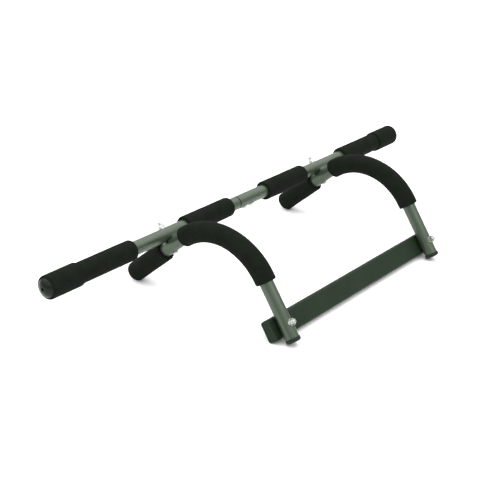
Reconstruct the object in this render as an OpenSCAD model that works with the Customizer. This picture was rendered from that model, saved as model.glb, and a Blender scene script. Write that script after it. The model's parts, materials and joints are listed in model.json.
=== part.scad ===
// Doorway pull-up bar, standing on its leg caps and handle ends.
// X runs along the main bar, +Z is up, and the origin is on the floor
// under the middle of the whole bar.
// The side outline is drawn upright, with the leg along +Z and the bar
// towards +Y, and then leans forward until it stands on the floor.

/* [Tubes] */
// Outer diameter of the main bar and the arms
tube_d = 24; // [20:0.5:25]
// Wall thickness of every tube
tube_wall = 1.5; // [1:0.1:2]

/* [Main bar] */
// Length of the steel bar, end to end
bar_len = 994; // [900:1:1100]
// Start of the end bumper, measured from the middle
bumper_start = 432; // [400:0.5:450]
// Inner end of the outer grip, measured from the middle
outer_grip_start = 308; // [285:0.5:330]
// Outer end of the inner grip, measured from the middle
inner_grip_end = 174.5; // [150:0.5:190]
// Inner end of the inner grip, measured from the middle
inner_grip_start = 52.5; // [45:0.5:60]
// Mouth of the right half, left of the middle
splice_mouth = 27.5; // [20:0.5:30]
// How far the spigot of the left half passes the middle
spigot_reach = 34; // [25:1:40]

/* [Foam] */
// Outer diameter of the grips
foam_d = 35.4; // [32:0.2:38]
// Outer diameter of the end bumpers
bumper_d = 40; // [38:0.5:44]
// How far the bumper stands past the steel bar
bumper_lip = 3; // [2:0.5:5]
// Rounding of the outer end of the bumpers
bumper_round = 4; // [2:0.5:4]
// Rounding of the handle ends
foam_round = 5; // [4:0.5:5.5]
// Rounding of the other grip ends
foam_edge = 3; // [1:0.5:3]

/* [Arms] */
// Distance of each arm from the middle
arm_x = 222.5; // [210:0.5:240]
// Straight part of the leg, up to the bend
leg_len = 92.8; // [80:0.1:110]
// Leg below the centre of the frame outline
leg_foot = 13; // [10:0.5:16]
// Centre line radius of the bend
bend_r = 115; // [100:1:130]
// Angle of the bend
bend_angle = 96.8; // [92:0.2:100]
// How far the curved grip reaches down the leg from the bend
arm_grip_start = 7.5; // [4:0.5:20]
// Angle of the bend that the curved grip covers
arm_grip_angle = 94.6; // [80:0.2:95]
// Place of the main bar along the tail of the arm
bar_on_tail = 31.5; // [28:0.5:34]
// Height of the main bar above the tail, axis to axis; the tail is notched to seat it
bar_seat = 22; // [21:0.5:24]
// Start of the handle grip along the tail
handle_start = 49; // [44:0.5:55]
// End of the handle grip along the tail
handle_end = 144; // [130:0.5:160]

/* [Crossbar] */
// Width of the flat face of the crossbar
cross_w = 37; // [30:0.5:45]
// Thickness of the crossbar
cross_t = 19; // [15:0.5:19]
// Overhang of the crossbar past each leg axis
cross_over = 21.5; // [18:0.5:30]
// Lower edge of the crossbar below the frame outline
cross_drop = 6.8; // [3:0.2:7]
// Corner radius of the crossbar
cross_round = 4.5; // [3:0.5:5]

/* [Leg caps] */
// Diameter of the leg cap
cap_d = 26; // [24:0.5:30]
// Thickness of the leg cap
cap_t = 7; // [5:0.5:8]

/* [Fasteners] */
// Thread diameter of the bolts
bolt_d = 6; // [5:1:6]
// Width of the nuts across their flats
nut_flats = 10; // [9:1:11]
// Height of the nuts
nut_t = 5; // [4:0.5:6]
// Diameter of the saddle washers
washer_d = 12; // [11:0.5:14]

/* [Hidden] */
$fn = 64;
// Facets of a round section and of a full turn on the curved pieces
section_fn = 32;
turn_fn = 96;
LEFT = -1;
RIGHT = 1;
eps = 0.01;

tube_r = tube_d / 2;
bore_r = tube_r - tube_wall;
foam_r = foam_d / 2;
bumper_r = bumper_d / 2;
cap_r = cap_d / 2;
bolt_r = bolt_d / 2;
hole_r = bolt_r + 0.2;
half_bar = bar_len / 2;

// Tail of the arm: it starts where the bend ends and dips by tail_dip
tail_dip = bend_angle - 90;
tail_y = bend_r * (1 - cos(bend_angle));
tail_z = leg_len + bend_r * sin(bend_angle);
tube_end = handle_end - 3;
// A point at a distance along the tail and a height above its axis
function on_tail(along, above) = [
    tail_y + along * cos(tail_dip) + above * sin(tail_dip),
    tail_z - along * sin(tail_dip) + above * cos(tail_dip)
];
bar_at = on_tail(bar_on_tail, bar_seat);

// The frame leans until the leg caps and the handle ends touch the floor
cap_round = 3;
cap_low = [cap_r - cap_round, cap_round - leg_foot - cap_t];
grip_low = on_tail(handle_end - foam_round, foam_round - foam_r);
grip_high = on_tail(handle_end - foam_round, foam_r - foam_round);
span = grip_low - cap_low;
lean = atan2(span[1], span[0]) + asin((cap_round - foam_round) / norm(span));
floor_z = cap_low[1] * cos(lean) - cap_low[0] * sin(lean) - cap_round;
front_y = cap_low[1] * sin(lean) - cap_low[0] * cos(lean) - cap_round;
back_y = grip_high[0] * cos(lean) + grip_high[1] * sin(lean) + foam_round;

// Main bar details
splice_gap = 2.5;
ring_groove = 0.4;
spigot_wall = 1.5;
spigot_r = bore_r - spigot_wall;
splice_bolt_x = [-15, 5.5];
plug_head_r = 16;
plug_head_t = 3;
plug_dome = 8;
plug_depth = 16;
plug_hole_r = 2.4;
plug_hole_depth = 4;

// Bolt details
head_r = 5.5;
head_t = 3;
thread_end = 5;
leg_thread_end = 3;
splice_nut_top = bar_seat - sqrt(spigot_r * spigot_r - nut_flats * nut_flats / 4) + nut_t;
access_r = 8;
washer_t = 1.5;
cross_bolt_z = cross_w / 2 - cross_drop;
cap_t_cross = 3;
insert_depth = 8;

steel = [0.43, 0.48, 0.42];
dark_steel = [0.26, 0.31, 0.25];
zinc = [0.78, 0.79, 0.77];
foam = [0.13, 0.15, 0.13];
plastic = [0.06, 0.06, 0.06];

// Places children drawn in the upright outline into the standing frame
module standing() {
    translate([0, -(front_y + back_y) / 2, -floor_z]) rotate([-lean, 0, 0]) children();
}

module at_arm(side) {
    standing() translate([side * arm_x, 0, 0]) children();
}

// Local Z runs along +X of the part, on the axis of the main bar
module along_bar(side) {
    standing() translate([0, bar_at[0], bar_at[1]]) rotate([0, side * 90, 0]) children();
}

// Local Z runs along the tail from the end of the bend
module along_tail(side) {
    at_arm(side) translate([0, tail_y, tail_z]) rotate([-90 - tail_dip, 0, 0]) children();
}

// Local Z points up through the tail and the main bar
module through_tail(x) {
    low = on_tail(bar_on_tail, 0);
    standing() translate([x, low[0], low[1]]) rotate([-tail_dip, 0, 0]) children();
}

// Local Z points out of the front of a leg
module through_leg(x) {
    standing() translate([x, 0, cross_bolt_z]) rotate([90, 0, 0]) children();
}

// A round bar along the bend, between two angles measured from the leg
module bend_bar(r, from, to) {
    reach = 2 * bend_r;
    middle = (from + to) / 2;
    translate([0, bend_r, leg_len]) rotate([90, 0, 90]) intersection() {
        rotate_extrude($fn = turn_fn) translate([bend_r, 0]) circle(r, $fn = section_fn);
        translate([0, 0, -r - 1]) linear_extrude(2 * r + 2) polygon([
            [0, 0], for (angle = [from, middle, to]) reach * [-cos(angle), sin(angle)]
        ]);
    }
}

// Local Z runs along the bend at an angle from the leg
module at_bend(angle) {
    translate([0, bend_r, leg_len]) rotate([90, 0, 90]) rotate([0, 0, 180 - angle])
        translate([bend_r, 0, 0]) rotate([90, 0, 0]) children();
}

module pipe(outer, inner, from, to) {
    translate([0, 0, from]) difference() {
        cylinder(r = outer, h = to - from);
        translate([0, 0, -1]) cylinder(r = inner, h = to - from + 2);
    }
}

// A foam sleeve on a straight tube, each end with its own rounding
module sleeve(outer, from, to, round_from, round_to) {
    difference() {
        rotate_extrude() {
            translate([0, from + round_from]) square([outer, to - from - round_from - round_to]);
            translate([0, from]) square([outer - round_from, round_from + eps]);
            translate([0, to - round_to - eps]) square([outer - round_to, round_to + eps]);
            for (end = [[from + round_from, round_from], [to - round_to, round_to]])
                intersection() {
                    translate([outer - end[1], end[0]]) circle(end[1]);
                    translate([0, from]) square([outer, to - from]);
                }
        }
        translate([0, 0, from - 1]) cylinder(r = tube_r, h = to - from + 2);
    }
}

// The domed plug in a tube end, its head seated at the given height
module round_plug(rim_r, rim_t, dome, at) {
    ball = (rim_r * rim_r + dome * dome) / (2 * dome);
    difference() {
        union() {
            translate([0, 0, at - plug_depth]) cylinder(r = bore_r, h = plug_depth);
            translate([0, 0, at]) cylinder(r = rim_r, h = rim_t);
            translate([0, 0, at + rim_t]) intersection() {
                translate([0, 0, dome - ball]) sphere(ball);
                cylinder(r = rim_r, h = dome);
            }
        }
        translate([0, 0, at + rim_t + dome - plug_hole_depth])
            cylinder(r = plug_hole_r, h = plug_hole_depth + 1);
    }
}

module main_bar_left() color(steel) {
    shoulder = splice_mouth + splice_gap;
    difference() {
        along_bar(LEFT) union() {
            pipe(tube_r, bore_r, shoulder, half_bar);
            pipe(bore_r, spigot_r, -spigot_reach, shoulder + 2 * spigot_wall);
        }
        bar_holes(LEFT);
    }
}

module main_bar_right() color(steel) difference() {
    along_bar(RIGHT) pipe(tube_r, bore_r, -splice_mouth, half_bar);
    bar_holes(RIGHT);
}

// One hole right through for the arm bolt, and two in the underside for the splice screws
module bar_holes(side) {
    through_tail(side * arm_x) translate([0, 0, bar_seat - tube_r - 1])
        cylinder(r = hole_r, h = tube_d + 2);
    for (x = splice_bolt_x) through_tail(x) cylinder(r = hole_r, h = bar_seat);
}

// The ring that fills the groove between the two halves
module splice_ring() color(plastic)
    along_bar(LEFT) pipe(tube_r - ring_groove, bore_r, splice_mouth, splice_mouth + splice_gap);

module end_plug(side) color(plastic)
    along_bar(side) round_plug(plug_head_r, plug_head_t, plug_dome, half_bar);

// The bumper closes round the head of the plug
module end_bumper(side) color(foam) along_bar(side) difference() {
    sleeve(bumper_r, bumper_start, half_bar + bumper_lip, foam_edge, bumper_round);
    translate([0, 0, half_bar]) cylinder(r = plug_head_r, h = bumper_lip + 1);
}

module outer_grip(side) color(foam)
    along_bar(side) sleeve(foam_r, outer_grip_start, bumper_start, foam_edge, foam_edge);

module inner_grip(side) color(foam)
    along_bar(side) sleeve(foam_r, inner_grip_start, inner_grip_end, foam_edge, foam_edge);

// The splice screws come up from below into nuts that are welded inside the spigot
module splice_bolts() color(zinc) for (x = splice_bolt_x) through_tail(x) {
    low = bar_seat - tube_r;
    translate([0, 0, low]) cylinder(r = bolt_r, h = splice_nut_top + 1 - low);
    translate([0, 0, low]) mirror([0, 0, 1]) button_head();
}

module splice_nuts() color(zinc) for (x = splice_bolt_x)
    through_tail(x) translate([0, 0, splice_nut_top - nut_t]) nut();

module button_head() {
    ball = (head_r * head_r + head_t * head_t) / (2 * head_t);
    intersection() {
        translate([0, 0, head_t - ball]) sphere(ball);
        cylinder(r = head_r, h = head_t);
    }
}

module nut() difference() {
    cylinder(d = nut_flats / cos(30), h = nut_t, $fn = 6);
    translate([0, 0, -1]) cylinder(r = bolt_r, h = nut_t + 2);
}

// A washer with one side hollowed to sit on a tube that runs along X or Y
module saddle_washer(along_x) difference() {
    translate([0, 0, tube_r - washer_t - 1]) cylinder(d = washer_d, h = 2 * washer_t + 1);
    translate([0, 0, -1]) cylinder(r = bolt_r, h = tube_d);
    rotate(along_x ? [0, 90, 0] : [90, 0, 0]) cylinder(r = tube_r, h = 2 * washer_d, center = true);
}

// The bent bar of one arm, from its foot to the end of its tail
module arm_bar(side, r, past) at_arm(side) {
    translate([0, 0, -leg_foot - past]) cylinder(r = r, h = leg_foot + leg_len + past, $fn = section_fn);
    bend_bar(r, 0, bend_angle);
    translate([0, tail_y, tail_z]) rotate([-90 - tail_dip, 0, 0])
        cylinder(r = r, h = tube_end + past, $fn = section_fn);
}

module arm(side) color(steel) difference() {
    arm_bar(side, tube_r, 0);
    arm_bar(side, bore_r, 1);
    along_bar(side) cylinder(r = tube_r, h = 2 * arm_x);
    through_tail(side * arm_x) translate([0, 0, -tube_d]) cylinder(r = hole_r, h = tube_d + tube_r + 1);
    through_leg(side * arm_x) cylinder(r = hole_r, h = 2 * tube_d, center = true);
}

// The curved grip starts on the leg, follows the bend and has rounded ends
module arm_grip(side) color(foam) at_arm(side) difference() {
    degrees_per_mm = 180 / PI / bend_r;
    low = -arm_grip_start * degrees_per_mm;
    edge_angle = foam_edge * degrees_per_mm;
    union() {
        bend_bar(foam_r, low + edge_angle, arm_grip_angle - edge_angle);
        bend_bar(foam_r - foam_edge, low, arm_grip_angle);
        for (angle = [low + edge_angle, arm_grip_angle - edge_angle])
            at_bend(angle) rotate_extrude($fn = section_fn)
                translate([foam_r - foam_edge, 0]) circle(foam_edge, $fn = section_fn);
    }
    bend_bar(tube_r, low - 5, bend_angle);
}

module handle_grip(side) color(foam)
    along_tail(side) sleeve(foam_r, handle_start, handle_end, foam_edge, foam_round);

module handle_plug(side) color(plastic)
    along_tail(side) round_plug(tube_r, 1, 1.5, tube_end);

module arm_bolts() color(zinc) for (side = [LEFT, RIGHT]) through_tail(side * arm_x) {
    top = bar_seat + tube_r + washer_t + nut_t + thread_end;
    translate([0, 0, -tube_r]) cylinder(r = bolt_r, h = tube_r + top);
    translate([0, 0, -tube_r]) mirror([0, 0, 1]) button_head();
}

module arm_washers() color(zinc) for (side = [LEFT, RIGHT])
    through_tail(side * arm_x) translate([0, 0, bar_seat]) saddle_washer(true);

module arm_nuts() color(zinc) for (side = [LEFT, RIGHT])
    through_tail(side * arm_x) translate([0, 0, bar_seat + tube_r + washer_t]) nut();

module cross_outline(inset) {
    w = cross_t - 2 * inset;
    h = cross_w - 2 * inset;
    r = cross_round - inset;
    translate([tube_r + inset, inset - cross_drop]) {
        translate([r, 0]) square([w - 2 * r, h]);
        translate([0, r]) square([w, h - 2 * r]);
        for (y = [r, w - r], z = [r, h - r]) translate([y, z]) circle(r);
    }
}

// Extrudes an outline of the side view along +X, out from the middle
module along_x(from, to) {
    translate([from, 0, 0]) rotate([90, 0, 90]) linear_extrude(to - from) children();
}

// The back wall has an access hole behind each leg, so that no bolt stands proud of it
module crossbar() color(dark_steel) {
    half = arm_x + cross_over - cap_t_cross;
    difference() {
        standing() along_x(-half, half) difference() {
            cross_outline(0);
            cross_outline(tube_wall);
        }
        for (side = [LEFT, RIGHT]) through_leg(side * arm_x) mirror([0, 0, 1]) {
            cylinder(r = hole_r, h = tube_r + cross_t / 2);
            translate([0, 0, tube_r + cross_t / 2]) cylinder(r = access_r, h = cross_t);
        }
    }
}

module crossbar_cap(side) color(dark_steel) {
    outer = arm_x + cross_over;
    standing() mirror([side == LEFT ? 1 : 0, 0, 0]) {
        along_x(outer - cap_t_cross, outer) cross_outline(0);
        along_x(outer - cap_t_cross - insert_depth, outer - cap_t_cross + eps) cross_outline(tube_wall);
    }
}

// A mushroom cap on the foot of the leg
module leg_cap(side) color(plastic) at_arm(side) {
    translate([0, 0, -leg_foot - eps]) cylinder(r = bore_r, h = plug_depth);
    translate([0, 0, -leg_foot - cap_t]) rotate_extrude() {
        translate([0, cap_round]) square([cap_r, cap_t - cap_round - 1]);
        translate([0, cap_t - 1 - eps]) square([cap_r - 1, 1 + eps]);
        square([cap_r - cap_round, cap_round + eps]);
        for (corner = [[cap_round, cap_round], [1, cap_t - 1]]) intersection() {
            translate([cap_r - corner[0], corner[1]]) circle(corner[0]);
            square([cap_r, cap_t]);
        }
    }
}

module leg_bolts() color(zinc) for (side = [LEFT, RIGHT]) through_leg(side * arm_x) {
    top = tube_r + washer_t + nut_t + leg_thread_end;
    back = tube_r + tube_wall;
    translate([0, 0, -back]) cylinder(r = bolt_r, h = back + top);
    translate([0, 0, -back]) mirror([0, 0, 1]) button_head();
}

module leg_washers() color(zinc) for (side = [LEFT, RIGHT])
    through_leg(side * arm_x) saddle_washer(false);

module leg_nuts() color(zinc) for (side = [LEFT, RIGHT])
    through_leg(side * arm_x) translate([0, 0, tube_r + washer_t]) nut();

main_bar_left();
main_bar_right();
end_plug(LEFT);  // end_plug_left
end_plug(RIGHT);  // end_plug_right
end_bumper(LEFT);  // end_bumper_left
end_bumper(RIGHT);  // end_bumper_right
outer_grip(LEFT);  // outer_grip_left
outer_grip(RIGHT);  // outer_grip_right
inner_grip(LEFT);  // inner_grip_left
inner_grip(RIGHT);  // inner_grip_right
splice_ring();
splice_bolts();
splice_nuts();
arm(LEFT);  // arm_left
arm(RIGHT);  // arm_right
arm_grip(LEFT);  // arm_grip_left
arm_grip(RIGHT);  // arm_grip_right
handle_grip(LEFT);  // handle_grip_left
handle_grip(RIGHT);  // handle_grip_right
handle_plug(LEFT);  // handle_plug_left
handle_plug(RIGHT);  // handle_plug_right
arm_bolts();
arm_washers();
arm_nuts();
crossbar();
crossbar_cap(LEFT);  // crossbar_cap_left
crossbar_cap(RIGHT);  // crossbar_cap_right
leg_cap(LEFT);  // leg_cap_left
leg_cap(RIGHT);  // leg_cap_right
leg_bolts();
leg_washers();
leg_nuts();
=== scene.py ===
"""Looks of the doorway pull-up bar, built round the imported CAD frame. Lengths are in metres."""

import json
import math

import bmesh
import bpy
from mathutils import Matrix, Vector, noise


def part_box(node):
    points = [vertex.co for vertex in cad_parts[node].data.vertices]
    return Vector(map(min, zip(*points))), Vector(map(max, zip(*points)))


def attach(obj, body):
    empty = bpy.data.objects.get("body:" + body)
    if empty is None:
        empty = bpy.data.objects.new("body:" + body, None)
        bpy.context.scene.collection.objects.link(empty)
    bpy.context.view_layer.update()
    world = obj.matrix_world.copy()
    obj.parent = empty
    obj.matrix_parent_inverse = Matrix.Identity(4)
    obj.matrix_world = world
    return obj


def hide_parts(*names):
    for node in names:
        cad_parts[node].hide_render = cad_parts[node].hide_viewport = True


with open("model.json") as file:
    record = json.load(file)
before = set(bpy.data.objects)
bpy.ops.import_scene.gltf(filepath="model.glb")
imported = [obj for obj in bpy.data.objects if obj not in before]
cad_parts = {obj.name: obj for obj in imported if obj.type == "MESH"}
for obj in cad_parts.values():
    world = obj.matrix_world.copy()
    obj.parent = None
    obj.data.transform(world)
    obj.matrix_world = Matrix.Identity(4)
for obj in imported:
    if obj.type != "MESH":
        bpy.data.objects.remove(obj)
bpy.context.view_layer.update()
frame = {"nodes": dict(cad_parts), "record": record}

# ---------------------------------------------------------------- driving dimensions
TUBE_R = 0.012
BORE_R = 0.0105
BOLT_R = 0.003
BAR_HALF = 0.497
SPLICE_MOUTH = -0.0275
SPLICE_GAP = 0.0025
SPIGOT_END = 0.034
SPIGOT_R = 0.009
SPIGOT_FOOT = 0.003
RING_GROOVE = 0.0004
GRIP_ROUND = 0.003
BUMPER_ROUND = 0.004
HANDLE_ROUND = 0.005
PLUG_HEAD_R = 0.016
PLUG_HEAD_T = 0.003
PLUG_DOME = 0.008
PLUG_DEPTH = 0.016
PLUG_HOLE_R = 0.0024
LEG_LEN = 0.0928
LEG_FOOT = 0.013
BEND_R = 0.115
BEND_ANGLE = math.radians(96.8)
ARM_GRIP_START = 0.0075
ARM_GRIP_ANGLE = math.radians(94.6)
BAR_ON_TAIL = 0.0315
BAR_SEAT = 0.022
HANDLE_START = 0.049
HANDLE_END = 0.144
HANDLE_LIP = 0.003
CROSS_W = 0.037
CROSS_T = 0.019
CROSS_DROP = 0.0068
CROSS_ROUND = 0.0045
CROSS_CAP_T = 0.003
CAP_R = 0.013
CAP_T = 0.007
CAP_ROUND = 0.003
NUT_FLATS = 0.010
NUT_T = 0.005
HEAD_R = 0.0055
HEAD_T = 0.003
WASHER_R = 0.006
WASHER_T = 0.0015
THREAD_END = 0.005
LEG_THREAD_END = 0.003
THREAD_LEN = 0.014
SPLICE_BOLT_X = (-0.015, 0.0055)
SIDES = {"left": -1, "right": 1}

# ---------------------------------------------------------------- the frame's own axes
X = Vector((1, 0, 0))
mount = frame["record"]["mounts"][0]
FORWARD = Vector(mount["axis"]).normalized()
UPWARD = X.cross(FORWARD).normalized()
CROSS_MIDDLE = CROSS_W / 2 - CROSS_DROP
OUTLINE_AT = Vector(mount["pos_m"]) - FORWARD * (TUBE_R + CROSS_T) - UPWARD * CROSS_MIDDLE
BEND_LEN = BEND_R * BEND_ANGLE
TAIL_AT = LEG_LEN + BEND_LEN
TUBE_END = TAIL_AT + HANDLE_END - HANDLE_LIP


def box_middle(node):
    low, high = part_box(node)
    return (Vector(low) + Vector(high)) / 2


BAR_AT = box_middle("outer_grip_left")
BAR_AT.x = 0
ARM_X = box_middle("arm_right").x
FOAM_R = (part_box("arm_grip_right")[1][0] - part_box("arm_grip_right")[0][0]) / 2
BUMPER_R = (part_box("end_bumper_right")[1][2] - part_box("end_bumper_right")[0][2]) / 2


# ---------------------------------------------------------------- places along a path
def straight(start, along, up):
    """A straight path: distance along it, radius and turn give a point."""
    aside = along.cross(up)

    def place(s, r, turn):
        return start + along * s + (up * math.cos(turn) + aside * math.sin(turn)) * r
    return place


def arm_frame(s):
    """Point, direction and outward direction of the arm's centre line, in the side outline."""
    angle = min(max((s - LEG_LEN) / BEND_R, 0), BEND_ANGLE)
    past = s - min(max(s, LEG_LEN), TAIL_AT)
    point = Vector((BEND_R * (1 - math.cos(angle)), LEG_LEN + BEND_R * math.sin(angle)))
    along = Vector((math.sin(angle), math.cos(angle)))
    outward = Vector((-math.cos(angle), math.sin(angle)))
    return point + along * past, along, outward


def in_outline(flat):
    """Turns a pair from the side outline into a vector of the standing frame."""
    return FORWARD * flat[0] + UPWARD * flat[1]


def arm_path(x):
    """The path of one arm's centre line, at its own place along X."""
    def place(s, r, turn):
        point, _, outward = arm_frame(s)
        spot = point + outward * (r * math.cos(turn))
        return OUTLINE_AT + in_outline(spot) + X * (x + r * math.sin(turn))
    return place


def tail_point(x, s):
    return OUTLINE_AT + in_outline(arm_frame(TAIL_AT + s)[0]) + X * x


TAIL_UP = in_outline(arm_frame(TAIL_AT)[2])
TAIL_ALONG = in_outline(arm_frame(TAIL_AT)[1])


# ---------------------------------------------------------------- mesh helpers
def finish_piece(name, bm, material, node_names, smooth_angle=35):
    """Makes an object of the mesh, hangs it on the root body and hides the CAD nodes that it stands
    for.
    """
    bmesh.ops.recalc_face_normals(bm, faces=bm.faces)
    mesh = bpy.data.meshes.new(name)
    bm.to_mesh(mesh)
    bm.free()
    for face in mesh.polygons:
        face.use_smooth = True
    mesh.set_sharp_from_angle(angle=math.radians(smooth_angle))
    piece = bpy.data.objects.new(name, mesh)
    bpy.context.scene.collection.objects.link(piece)
    mesh.materials.append(material)
    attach(piece, "root")
    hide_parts(*node_names)
    return piece


def add_rings(bm, outline, place, turns=96, shape=None, closed=True):
    """Adds a turned solid. The outline is (distance, radius) pairs, closed on itself when it
    is hollow, and starting and ending on the axis when it isn't."""
    rows = []
    for s, r in outline:
        if r == 0:
            rows.append([bm.verts.new(place(s, 0, 0))])
            continue
        row = []
        for i in range(turns):
            turn = 2 * math.pi * i / turns
            row.append(bm.verts.new(place(s, shape(s, r, turn) if shape else r, turn)))
        rows.append(row)
    pairs = list(zip(rows, rows[1:] + rows[:1])) if closed else list(zip(rows, rows[1:]))
    for first, second in pairs:
        for i in range(turns):
            j = (i + 1) % turns
            corners = [first[i % len(first)], first[j % len(first)],
                       second[j % len(second)], second[i % len(second)]]
            corners = list(dict.fromkeys(corners))
            if len(corners) > 2:
                bm.faces.new(corners)


def steps(start, end, size):
    count = max(1, round(abs(end - start) / size))
    return [start + (end - start) * i / count for i in range(count + 1)]


def arc(middle_s, middle_r, radius, start, end, count=8):
    """Points of an arc in the outline, its angles in degrees from the +distance direction."""
    points = []
    for i in range(count + 1):
        angle = math.radians(start + (end - start) * i / count)
        points.append((middle_s + radius * math.cos(angle), middle_r + radius * math.sin(angle)))
    return points


def sleeve_outline(start, end, outer, inner, round_start, round_end, size=0.002):
    """A sleeve with rounded ends. Its inner edges have a small rounding too."""
    lip = 0.0008
    flat = steps(start + round_start, end - round_end, size)[1:-1]
    return (
        arc(start + lip, inner + lip, lip, 270, 180, 3)
        + arc(start + round_start, outer - round_start, round_start, 180, 90)
        + [(s, outer) for s in flat]
        + arc(end - round_end, outer - round_end, round_end, 90, 0)
        + arc(end - lip, inner + lip, lip, 0, -90, 3)
        + [(s, inner) for s in reversed(steps(start + lip, end - lip, size)[1:-1])]
    )


# ---------------------------------------------------------------- materials
def material_base(name, colour, roughness, metallic=0.0):
    """A Principled material, with the plain values that its node textures then vary."""
    mat = bpy.data.materials.new(name)
    mat.use_nodes = True
    shader = mat.node_tree.nodes["Principled BSDF"]
    shader.inputs["Base Color"].default_value = (*colour, 1)
    shader.inputs["Roughness"].default_value = roughness
    shader.inputs["Metallic"].default_value = metallic
    return mat, mat.node_tree, shader


def add_node(tree, kind, **values):
    """Adds a node. A value sets the socket of that name, or else the node's own property."""
    node = tree.nodes.new(kind)
    for key, value in values.items():
        name = key.replace("_", " ")
        if name in node.inputs:
            node.inputs[name].default_value = value
        else:
            setattr(node, key, value)
    return node


def object_noise(tree, scale, detail=4.0, roughness=0.55):
    place = add_node(tree, "ShaderNodeTexCoord")
    cloud = add_node(tree, "ShaderNodeTexNoise", Scale=scale, Detail=detail, Roughness=roughness)
    tree.links.new(place.outputs["Object"], cloud.inputs["Vector"])
    return cloud


def object_cells(tree, scale):
    place = add_node(tree, "ShaderNodeTexCoord")
    cells = add_node(tree, "ShaderNodeTexVoronoi", Scale=scale)
    tree.links.new(place.outputs["Object"], cells.inputs["Vector"])
    return cells


def ramp_colour(tree, value, low, high, socket, start=0.3, end=0.7):
    ramp = add_node(tree, "ShaderNodeValToRGB")
    ramp.color_ramp.elements[0].position = start
    ramp.color_ramp.elements[1].position = end
    ramp.color_ramp.elements[0].color = (*low, 1)
    ramp.color_ramp.elements[1].color = (*high, 1)
    tree.links.new(value, ramp.inputs["Fac"])
    tree.links.new(ramp.outputs["Color"], socket)


def ramp_value(tree, value, low, high, socket):
    span = add_node(tree, "ShaderNodeMapRange")
    span.inputs["To Min"].default_value = low
    span.inputs["To Max"].default_value = high
    tree.links.new(value, span.inputs["Value"])
    tree.links.new(span.outputs["Result"], socket)


def add_bumps(tree, shader, layers):
    """Stacks bump layers, each a height socket, a strength and a depth in metres."""
    last = None
    for height, strength, depth in layers:
        bump = add_node(tree, "ShaderNodeBump", Strength=strength, Distance=depth)
        tree.links.new(height, bump.inputs["Height"])
        if last:
            tree.links.new(last.outputs["Normal"], bump.inputs["Normal"])
        last = bump
    tree.links.new(last.outputs["Normal"], shader.inputs["Normal"])


def foam_material():
    """Closed-cell foam: a matte skin with fine pores and soft mottling."""
    mat, tree, shader = material_base("closed_cell_foam", (0.010, 0.012, 0.010), 0.9)
    shader.inputs["Specular IOR Level"].default_value = 0.05
    pores = object_cells(tree, 1300)
    grain = object_noise(tree, 2600, 2)
    lumps = object_noise(tree, 160, 3)
    tint = object_noise(tree, 70, 5)
    ramp_colour(tree, tint.outputs["Fac"], (0.0050, 0.0072, 0.0045), (0.0076, 0.0100, 0.0069),
                shader.inputs["Base Color"])
    ramp_value(tree, grain.outputs["Fac"], 0.72, 0.95, shader.inputs["Roughness"])
    add_bumps(tree, shader, [(lumps.outputs["Fac"], 0.25, 0.0006),
                             (pores.outputs["Distance"], 0.55, 0.00025),
                             (grain.outputs["Fac"], 0.35, 0.00012)])
    return mat


def powder_coat(name, low, high, roughness, metallic, coat, specular):
    """Metallic powder coat: fine orange peel, a slight drift in tone and tiny flakes."""
    mat, tree, shader = material_base(name, high, roughness, metallic)
    shader.inputs["Coat Weight"].default_value = coat
    shader.inputs["Coat Roughness"].default_value = 0.16
    shader.inputs["Specular IOR Level"].default_value = specular
    drift = object_noise(tree, 22, 5, 0.6)
    peel = object_noise(tree, 700, 2)
    flakes = object_cells(tree, 2400)
    ramp_colour(tree, drift.outputs["Fac"], low, high, shader.inputs["Base Color"])
    ramp_value(tree, flakes.outputs["Distance"], roughness - 0.06, roughness + 0.10,
               shader.inputs["Roughness"])
    add_bumps(tree, shader, [(peel.outputs["Fac"], 0.18, 0.0002),
                             (flakes.outputs["Distance"], 0.10, 0.00005)])
    return mat


def zinc_material():
    """Zinc plate: bright metal with a cloudy passivated film."""
    mat, tree, shader = material_base("zinc_plate", (0.70, 0.71, 0.69), 0.3, 1.0)
    cloud = object_noise(tree, 300, 5, 0.65)
    scratch = object_noise(tree, 1800, 2)
    ramp_colour(tree, cloud.outputs["Fac"], (0.28, 0.30, 0.28), (0.60, 0.61, 0.58),
                shader.inputs["Base Color"])
    ramp_value(tree, cloud.outputs["Fac"], 0.20, 0.42, shader.inputs["Roughness"])
    add_bumps(tree, shader, [(scratch.outputs["Fac"], 0.15, 0.00005)])
    return mat


def plastic_material(name, colour, roughness, specular, grain_depth):
    """Moulded plastic: a fine grain, with small changes in gloss and tone."""
    darkest = 0.7
    mat, tree, shader = material_base(name, colour, roughness)
    shader.inputs["Specular IOR Level"].default_value = specular
    grain = object_noise(tree, 1500, 3)
    cloud = object_noise(tree, 90, 4)
    ramp_value(tree, cloud.outputs["Fac"], roughness - 0.05, roughness + 0.08,
               shader.inputs["Roughness"])
    dark = tuple(darkest * c for c in colour)
    ramp_colour(tree, cloud.outputs["Fac"], dark, colour, shader.inputs["Base Color"])
    add_bumps(tree, shader, [(grain.outputs["Fac"], 0.3, grain_depth)])
    return mat


FOAM = foam_material()
STEEL = powder_coat("grey_green_powder_coat", low=(0.046, 0.066, 0.042), high=(0.058, 0.081, 0.053),
                    roughness=0.34, metallic=0.5, coat=0.35, specular=0.3)
CROSS_STEEL = powder_coat("dark_powder_coat", low=(0.0072, 0.0165, 0.0072),
                          high=(0.0100, 0.0205, 0.0098),
                          roughness=0.55, metallic=0.0, coat=0.0, specular=0.15)
ZINC = zinc_material()
GLOSS = plastic_material("gloss_black_plastic", (0.006, 0.010, 0.005), roughness=0.26,
                         specular=0.16, grain_depth=0.00001)
PLASTIC = plastic_material("black_plastic", (0.008, 0.013, 0.008), roughness=0.42,
                           specular=0.2, grain_depth=0.00006)


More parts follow.
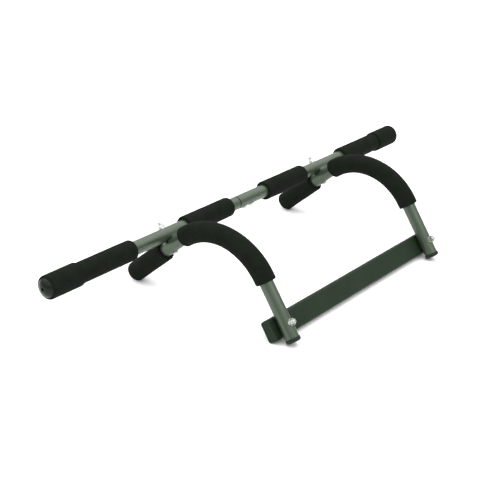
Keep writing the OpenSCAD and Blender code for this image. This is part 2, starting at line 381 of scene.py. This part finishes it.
# ---------------------------------------------------------------- foam
def foam_skin(outer, inner, seed):
    """Foam isn't a machined cylinder: its skin wanders by a few tenths of a millimetre."""
    amount = 0.00025
    waves_along = 45
    waves_round = 0.9

    def shape(s, r, turn):
        spot = Vector((s * waves_along, math.cos(turn) * waves_round + seed,
                       math.sin(turn) * waves_round))
        weight = max(0, r - inner) / (outer - inner)
        return r + amount * weight * noise.noise(spot)
    return shape


def foam_piece(name, outline, place, outer, seed):
    bm = bmesh.new()
    add_rings(bm, outline, place, turns=112, shape=foam_skin(outer, TUBE_R, seed))
    piece = finish_piece(f"{name}_foam", bm, FOAM, [name], smooth_angle=50)


def bar_path(side):
    return straight(BAR_AT, X * side, Vector((0, 0, 1)))


def x_span(node):
    """How far from the middle of the part a node starts and ends, measured along X."""
    low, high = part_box(node)
    return sorted((abs(low[0]), abs(high[0])))


def bar_grip(kind, side_name, seed):
    node = f"{kind}_{side_name}"
    start, end = x_span(node)
    outline = sleeve_outline(start, end, FOAM_R, TUBE_R, GRIP_ROUND, GRIP_ROUND)
    foam_piece(node, outline, bar_path(SIDES[side_name]), FOAM_R, seed)


def bumper_outline(start, end):
    """The bumper's lip closes round the head of the plug."""
    lip = 0.0006
    seat = BAR_HALF
    outer = BUMPER_R
    head = PLUG_HEAD_R
    return (
        arc(start + GRIP_ROUND, outer - GRIP_ROUND, GRIP_ROUND, 180, 90)
        + [(s, outer) for s in steps(start + GRIP_ROUND, end - BUMPER_ROUND, 0.002)[1:-1]]
        + arc(end - BUMPER_ROUND, outer - BUMPER_ROUND, BUMPER_ROUND, 90, 0)
        + arc(end - lip, head + lip, lip, 0, -90, 3)
        + [(seat, head), (seat, TUBE_R)]
        + [(s, TUBE_R) for s in steps(seat, start, 0.004)[1:]]
    )


def end_bumper(side_name, seed):
    node = f"end_bumper_{side_name}"
    foam_piece(node, bumper_outline(*x_span(node)), bar_path(SIDES[side_name]), BUMPER_R, seed)


def arm_foam(kind, side_name, start, end, end_round, seed):
    outline = sleeve_outline(start, end, FOAM_R, TUBE_R, GRIP_ROUND, end_round)
    foam_piece(f"{kind}_{side_name}", outline, arm_path(SIDES[side_name] * ARM_X), FOAM_R, seed)


# Each sleeve has a seed of its own, so that no two skins are alike
for number, side_name in enumerate(SIDES):
    other_side = number * 7
    bar_grip("outer_grip", side_name, 3.1 + other_side)
    bar_grip("inner_grip", side_name, 5.7 + other_side)
    end_bumper(side_name, 9.3 + other_side)
    arm_foam("arm_grip", side_name, LEG_LEN - ARM_GRIP_START, LEG_LEN + BEND_R * ARM_GRIP_ANGLE,
             GRIP_ROUND, 11.9 + other_side)
    arm_foam("handle_grip", side_name, TAIL_AT + HANDLE_START, TAIL_AT + HANDLE_END,
             HANDLE_ROUND, 14.5 + other_side)


# ---------------------------------------------------------------- tubes
def tube_outline(start, end, inner=BORE_R):
    """A tube with the sharp edge taken off both ends, cut into short rings so that it can bend."""
    edge = 0.0003
    size = 0.003
    return (
        [(start, inner), (start, TUBE_R - edge), (start + edge, TUBE_R)]
        + [(s, TUBE_R) for s in steps(start + edge, end - edge, size)[1:-1]]
        + [(end - edge, TUBE_R), (end, TUBE_R - edge), (end, inner)]
        + [(s, inner) for s in steps(end, start, size)[1:-1]]
    )


def arm_tube(side_name):
    bm = bmesh.new()
    add_rings(bm, tube_outline(-LEG_FOOT, TUBE_END), arm_path(SIDES[side_name] * ARM_X), 72)
    finish_piece(f"arm_{side_name}_tube", bm, STEEL, [f"arm_{side_name}"])


def main_bar():
    """Two tubes. The left one's spigot runs inside the right one, past a groove for the ring."""
    shoulder = SPLICE_MOUTH - SPLICE_GAP
    edge = 0.0005
    slack = 0.00002
    outline = (
        [(-BAR_HALF, BORE_R)]
        + [(s, TUBE_R) for s in steps(-BAR_HALF, shoulder - edge, 0.01)]
        + [(shoulder, TUBE_R - edge), (shoulder, BORE_R)]
        + [(SPIGOT_END, BORE_R), (SPIGOT_END, SPIGOT_R)]
        + [(shoulder - SPIGOT_FOOT, SPIGOT_R), (shoulder - SPIGOT_FOOT, BORE_R)]
    )
    left = bmesh.new()
    add_rings(left, outline, bar_path(1), 72)
    finish_piece("main_bar_left_tube", left, STEEL, ["main_bar_left"])
    right = bmesh.new()
    add_rings(right, tube_outline(SPLICE_MOUTH, BAR_HALF, BORE_R + slack), bar_path(1), 72)
    finish_piece("main_bar_right_tube", right, STEEL, ["main_bar_right"])


def splice_ring():
    """The ring is waisted, so it reads as a dark line between the two tubes."""
    start = SPLICE_MOUTH - SPLICE_GAP
    rim = TUBE_R - RING_GROOVE
    waist = 0.0006
    count = 8
    outline = [(start, BORE_R), (start, rim)]
    for i in range(1, count):
        outline.append((start + SPLICE_GAP * i / count, rim - waist * math.sin(math.pi * i / count)))
    outline += [(SPLICE_MOUTH, rim), (SPLICE_MOUTH, BORE_R)]
    bm = bmesh.new()
    add_rings(bm, outline, bar_path(1), 72)
    finish_piece("splice_ring_moulding", bm, PLASTIC, ["splice_ring"])


main_bar()
splice_ring()
for side_name in SIDES:
    arm_tube(side_name)


# ---------------------------------------------------------------- plugs and caps
def end_plug(side_name):
    """A glossy domed plug with a moulded step round its crown and a small hole in the middle."""
    ball = (PLUG_HEAD_R ** 2 + PLUG_DOME ** 2) / (2 * PLUG_DOME)
    rim = BAR_HALF + PLUG_HEAD_T
    tail = BAR_HALF - PLUG_DEPTH
    hole_floor = rim + 0.004
    crown_r = 0.0118
    edge = 0.0003
    taper = 0.002

    def dome(r):
        sink = edge if r < crown_r else 0
        return rim + PLUG_DOME - ball + math.sqrt(ball ** 2 - r ** 2) - sink

    profile = [(hole_floor, 0), (hole_floor, PLUG_HOLE_R), (dome(PLUG_HOLE_R) - edge, PLUG_HOLE_R)]
    profile += [(dome(r), r) for r in steps(PLUG_HOLE_R + edge, crown_r - edge, 0.0006)]
    profile += [(dome(r), r) for r in steps(crown_r, PLUG_HEAD_R - 0.0004, 0.0005)]
    profile += [(rim - edge, PLUG_HEAD_R), (BAR_HALF, PLUG_HEAD_R), (BAR_HALF, BORE_R)]
    profile += [(tail + taper, BORE_R), (tail, BORE_R - taper / 2), (tail, 0)]
    bm = bmesh.new()
    add_rings(bm, profile, bar_path(SIDES[side_name]), 96, closed=False)
    finish_piece(f"end_plug_{side_name}_moulding", bm, GLOSS, [f"end_plug_{side_name}"])


def handle_plug(side_name):
    """A flat plug with a low dome, just inside the end of the handle grip."""
    flange = 0.001
    dome = 0.0015
    crown_r = 0.0104
    spacing = 0.0012
    profile = [(TUBE_END - PLUG_DEPTH, 0), (TUBE_END - PLUG_DEPTH, BORE_R), (TUBE_END, BORE_R)]
    profile += [(TUBE_END, TUBE_R), (TUBE_END + 0.7 * flange, TUBE_R)]
    profile += [(TUBE_END + flange + dome * (1 - (r / TUBE_R) ** 2), r)
                for r in steps(crown_r, spacing, spacing)]
    profile += [(TUBE_END + flange + dome, 0)]
    bm = bmesh.new()
    add_rings(bm, profile, arm_path(SIDES[side_name] * ARM_X), 64, closed=False)
    finish_piece(f"handle_plug_{side_name}_moulding", bm, PLASTIC, [f"handle_plug_{side_name}"])


def leg_cap(side_name):
    """A mushroom cap with a rounded rim and two ring grooves in its sole."""
    foot = -LEG_FOOT
    sole = foot - CAP_T
    lip = 0.001
    taper = 0.002
    groove_depth = 0.0004
    mouth = 0.0007
    bed = 0.0004
    profile = [(foot + PLUG_DEPTH, 0), (foot + PLUG_DEPTH, BORE_R - taper / 2)]
    profile += [(foot + PLUG_DEPTH - taper, BORE_R), (foot, BORE_R)]
    profile += arc(foot - lip, CAP_R - lip, lip, 0, 90, 4)
    profile += arc(sole + CAP_ROUND, CAP_R - CAP_ROUND, CAP_ROUND, 90, 180)
    for r in (0.0085, 0.0055):
        profile += [(sole, r + mouth), (sole + groove_depth, r + bed)]
        profile += [(sole + groove_depth, r - bed), (sole, r - mouth)]
    profile += [(sole, 0)]
    bm = bmesh.new()
    add_rings(bm, profile, arm_path(SIDES[side_name] * ARM_X), 72, closed=False)
    finish_piece(f"leg_cap_{side_name}_moulding", bm, PLASTIC, [f"leg_cap_{side_name}"])


def cross_ring(x, inset, corner_steps=6):
    """The rounded outline of the crossbar at one place along X."""
    radius = max(CROSS_ROUND - inset, 0.0004)
    points = []
    corners = [(CROSS_T - inset, CROSS_W - inset, 0), (inset, CROSS_W - inset, 90),
               (inset, inset, 180), (CROSS_T - inset, inset, 270)]
    for forward, up, start in corners:
        sign_f = 1 if start in (0, 270) else -1
        sign_u = 1 if start in (0, 90) else -1
        for i in range(corner_steps + 1):
            angle = math.radians(start + 90 * i / corner_steps)
            f = forward - sign_f * radius + radius * math.cos(angle)
            u = up - sign_u * radius + radius * math.sin(angle)
            points.append(OUTLINE_AT + FORWARD * (TUBE_R + f) + UPWARD * (u - CROSS_DROP) + X * x)
    return points


def loft(name, rings, material, node):
    """Joins rings of equal length into a closed solid with flat ends."""
    bm = bmesh.new()
    rows = [[bm.verts.new(p) for p in ring] for ring in rings]
    count = len(rows[0])
    for first, second in zip(rows, rows[1:]):
        for i in range(count):
            j = (i + 1) % count
            bm.faces.new((first[i], first[j], second[j], second[i]))
    bm.faces.new(rows[0])
    bm.faces.new(rows[-1])
    finish_piece(name, bm, material, [node])


def paint_crossbar():
    """The crossbar keeps its CAD mesh, holes and all, and only takes its paint."""
    mesh = frame["nodes"]["crossbar"].data
    mesh.materials.clear()
    mesh.materials.append(CROSS_STEEL)


def crossbar_cap(side_name):
    """A shallow cap, rounded at its rim and dished a little in the middle of its face."""
    end = x_span(f"crossbar_cap_{side_name}")[1]
    side = SIDES[side_name]
    base = end - CROSS_CAP_T
    chamfer = 0.0004
    edge = 0.0012
    face = 0.003
    dish = 0.0006
    rings = [cross_ring(side * base, chamfer), cross_ring(side * (base + chamfer), 0)]
    for i in range(5):
        angle = math.radians(90 * i / 4)
        rings.append(cross_ring(side * (end - edge + edge * math.sin(angle)),
                                edge * (1 - math.cos(angle))))
    rings.append(cross_ring(side * end, face))
    rings.append(cross_ring(side * (end - dish), face + 0.0008))
    loft(f"crossbar_cap_{side_name}_pressing", rings, CROSS_STEEL, f"crossbar_cap_{side_name}")


paint_crossbar()
for side_name in SIDES:
    end_plug(side_name)
    handle_plug(side_name)
    leg_cap(side_name)
    crossbar_cap(side_name)


# ---------------------------------------------------------------- fasteners
def thread(start, end):
    """A 1 mm pitch thread as a helix in the radius."""
    pitch = 0.001
    depth = 0.0004

    def shape(s, r, turn):
        if not start <= s <= end or r < BOLT_R - 1e-6:
            return r
        phase = (s / pitch - turn / (2 * math.pi)) % 1
        return r - depth * abs(2 * phase - 1)
    return shape


def add_bolt(bm, place, tip, head_at):
    """A button-head bolt from its chamfered, threaded tip to its socket head."""
    onward = 1 if head_at > tip else -1
    chamfer = 0.0006
    tip_r = BOLT_R - 0.0008
    socket_r = 0.0019
    socket_lip = 0.0002
    socket_floor = head_at + onward * 0.001
    rise = 0.0004
    spacing = 0.00012
    thread_from = tip + onward * (chamfer + 0.0001)
    thread_to = tip + onward * min(THREAD_LEN, abs(head_at - tip) - 0.0005)
    profile = [(tip, 0), (tip, tip_r), (tip + onward * chamfer, BOLT_R)]
    profile += [(s, BOLT_R) for s in steps(thread_from, thread_to, spacing)]
    profile += [(head_at, BOLT_R), (head_at, HEAD_R)]
    for i in range(7):
        angle = math.radians(11 * i)
        profile.append((head_at + onward * (rise + (HEAD_T - rise) * math.sin(angle)),
                        HEAD_R * math.cos(angle)))
    top = head_at + onward * HEAD_T
    profile += [(top, socket_r + socket_lip), (top - onward * socket_lip, socket_r)]
    profile += [(socket_floor, socket_r), (socket_floor, 0)]
    ends = sorted((thread_from, thread_to))
    add_rings(bm, profile, place, 48, thread(*ends), closed=False)


def add_nut(bm, place, at):
    """A hexagon nut with both rims chamfered."""
    corner = NUT_FLATS / 2 / math.cos(math.pi / 6)

    def hexagon(_, r, turn):
        within = (turn + math.pi / 6) % (math.pi / 3) - math.pi / 6
        return min(r, NUT_FLATS / 2 / math.cos(within)) if r > BOLT_R + 0.001 else r

    chamfer = 0.0006
    face_r = NUT_FLATS / 2 - 0.0001
    countersink = 0.0005
    top = at + NUT_T
    profile = [(at, BOLT_R), (at, face_r), (at + chamfer, corner), (top - chamfer, corner)]
    profile += [(top, face_r), (top, BOLT_R + countersink), (top - countersink, BOLT_R)]
    add_rings(bm, profile, place, 72, hexagon)


def add_saddle(bm, start, axis, across, seat):
    """A round washer whose underside is hollowed to sit on the tube. across is at right
    angles to both the tube and the bolt."""
    aside = axis.cross(across)
    underside = -1
    edge = 0.0003
    top = seat + TUBE_R + WASHER_T

    def place(s, r, turn):
        spread = r * math.cos(turn)
        height = seat + math.sqrt(TUBE_R ** 2 - spread ** 2) if s == underside else s
        return start + axis * height + across * spread + aside * (r * math.sin(turn))

    profile = [(underside, r) for r in steps(BOLT_R, WASHER_R, 0.001)]
    profile += [(top - edge, WASHER_R), (top, WASHER_R - edge), (top, BOLT_R)]
    add_rings(bm, profile, place, 64)


def fasteners(node, build):
    bm = bmesh.new()
    build(bm)
    finish_piece(f"{node}_turned", bm, ZINC, [node], smooth_angle=30)


def tail_axis(x):
    """The axis of a bolt that stands up through the tail and the main bar."""
    return straight(tail_point(x, BAR_ON_TAIL), TAIL_UP, X)


def leg_start(side):
    return OUTLINE_AT + X * (side * ARM_X) + UPWARD * CROSS_MIDDLE


def leg_axis(side):
    return straight(leg_start(side), -FORWARD, X)


BAR_TOP = BAR_SEAT + TUBE_R
BAR_UNDERSIDE = BAR_SEAT - TUBE_R
STACK = WASHER_T + NUT_T
SPLICE_NUT_TOP = BAR_SEAT - math.sqrt(SPIGOT_R ** 2 - NUT_FLATS ** 2 / 4) + NUT_T
SCREW_PAST_NUT = 0.001


def arm_bolts(bm):
    for side in SIDES.values():
        add_bolt(bm, tail_axis(side * ARM_X), BAR_TOP + STACK + THREAD_END, -TUBE_R)


def arm_nuts(bm):
    for side in SIDES.values():
        add_nut(bm, tail_axis(side * ARM_X), BAR_TOP + WASHER_T)


def arm_washers(bm):
    for side in SIDES.values():
        add_saddle(bm, tail_point(side * ARM_X, BAR_ON_TAIL), TAIL_UP, TAIL_ALONG, BAR_SEAT)


def leg_bolts(bm):
    for side in SIDES.values():
        add_bolt(bm, leg_axis(side), TUBE_R + STACK + LEG_THREAD_END, BORE_R - 2 * TUBE_R)


def leg_nuts(bm):
    for side in SIDES.values():
        add_nut(bm, leg_axis(side), TUBE_R + WASHER_T)


def leg_washers(bm):
    for side in SIDES.values():
        add_saddle(bm, leg_start(side), -FORWARD, X, 0)


def splice_bolts(bm):
    for x in SPLICE_BOLT_X:
        add_bolt(bm, tail_axis(x), SPLICE_NUT_TOP + SCREW_PAST_NUT, BAR_UNDERSIDE)


def splice_nuts(bm):
    for x in SPLICE_BOLT_X:
        add_nut(bm, tail_axis(x), SPLICE_NUT_TOP - NUT_T)


for build in (arm_bolts, arm_nuts, arm_washers, leg_bolts, leg_nuts, leg_washers,
              splice_bolts, splice_nuts):
    fasteners(build.__name__, build)


# ---------------------------------------------------------------- floor, light and camera
def floor():
    half = 12
    mesh = bpy.data.meshes.new("floor")
    corners = [(-half, -half, 0), (half, -half, 0), (half, half, 0), (-half, half, 0)]
    mesh.from_pydata(corners, [], [(0, 1, 2, 3)])
    obj = bpy.data.objects.new("floor", mesh)
    bpy.context.scene.collection.objects.link(obj)
    mat, tree, shader = material_base("pale_floor", (0.93, 0.93, 0.93), 0.6)
    cloud = object_noise(tree, 3, 3)
    ramp_colour(tree, cloud.outputs["Fac"], (0.92, 0.92, 0.92), (0.94, 0.94, 0.94),
                shader.inputs["Base Color"])
    mesh.materials.append(mat)


def area_light(name, at, target, size, power):
    data = bpy.data.lights.new(name, "AREA")
    data.shape = "DISK"
    data.size = size
    data.energy = power
    obj = bpy.data.objects.new(name, data)
    obj.location = at
    obj.rotation_euler = (Vector(target) - Vector(at)).to_track_quat("-Z", "Y").to_euler()
    bpy.context.scene.collection.objects.link(obj)


def studio():
    """A bright ceiling over a dim room: tops are lit, sides stay dark."""
    world = bpy.data.worlds.new("studio")
    bpy.context.scene.world = world
    world.use_nodes = True
    tree = world.node_tree
    sky = tree.nodes["Background"]
    place = add_node(tree, "ShaderNodeTexCoord")
    split = add_node(tree, "ShaderNodeSeparateXYZ")
    tree.links.new(place.outputs["Generated"], split.inputs["Vector"])
    ramp_colour(tree, split.outputs["Z"], (0.16, 0.16, 0.16), (1, 1, 1), sky.inputs["Color"],
                start=0.15, end=0.75)
    sky.inputs["Strength"].default_value = 2.4
    area_light("front_key", (0.1, -1.9, 1.45), target=(0, -0.1, 0.05), size=0.4, power=3)
    area_light("back_soft", (-0.6, 1.7, 2.4), target=(0, 0, 0), size=3.2, power=26)
    scene = bpy.context.scene
    scene.view_settings.view_transform = "Standard"
    scene.view_settings.look = "None"
    scene.view_settings.exposure = 0


def camera():
    """Looks down past the left end of the bar, turned a little about its own axis."""
    azimuth = math.radians(53.77)
    elevation = math.radians(24.80)
    roll = math.radians(3.89)
    distance = 2.0597
    aim = Vector((-0.1529, 0, 0.1067))
    ahead = Vector((math.sin(azimuth) * math.cos(elevation), math.cos(azimuth) * math.cos(elevation),
                    -math.sin(elevation)))
    level = Vector((math.cos(azimuth), -math.sin(azimuth), 0))
    right = Matrix.Rotation(-roll, 3, ahead) @ level
    up = right.cross(ahead)
    data = bpy.data.cameras.new("camera")
    data.sensor_width = 36
    data.lens = 91.74
    obj = bpy.data.objects.new("camera", data)
    rotation = Matrix((right, up, -ahead)).transposed()
    obj.matrix_world = Matrix.Translation(aim - ahead * distance) @ rotation.to_4x4()
    bpy.context.scene.collection.objects.link(obj)
    bpy.context.scene.camera = obj


floor()
studio()
camera()
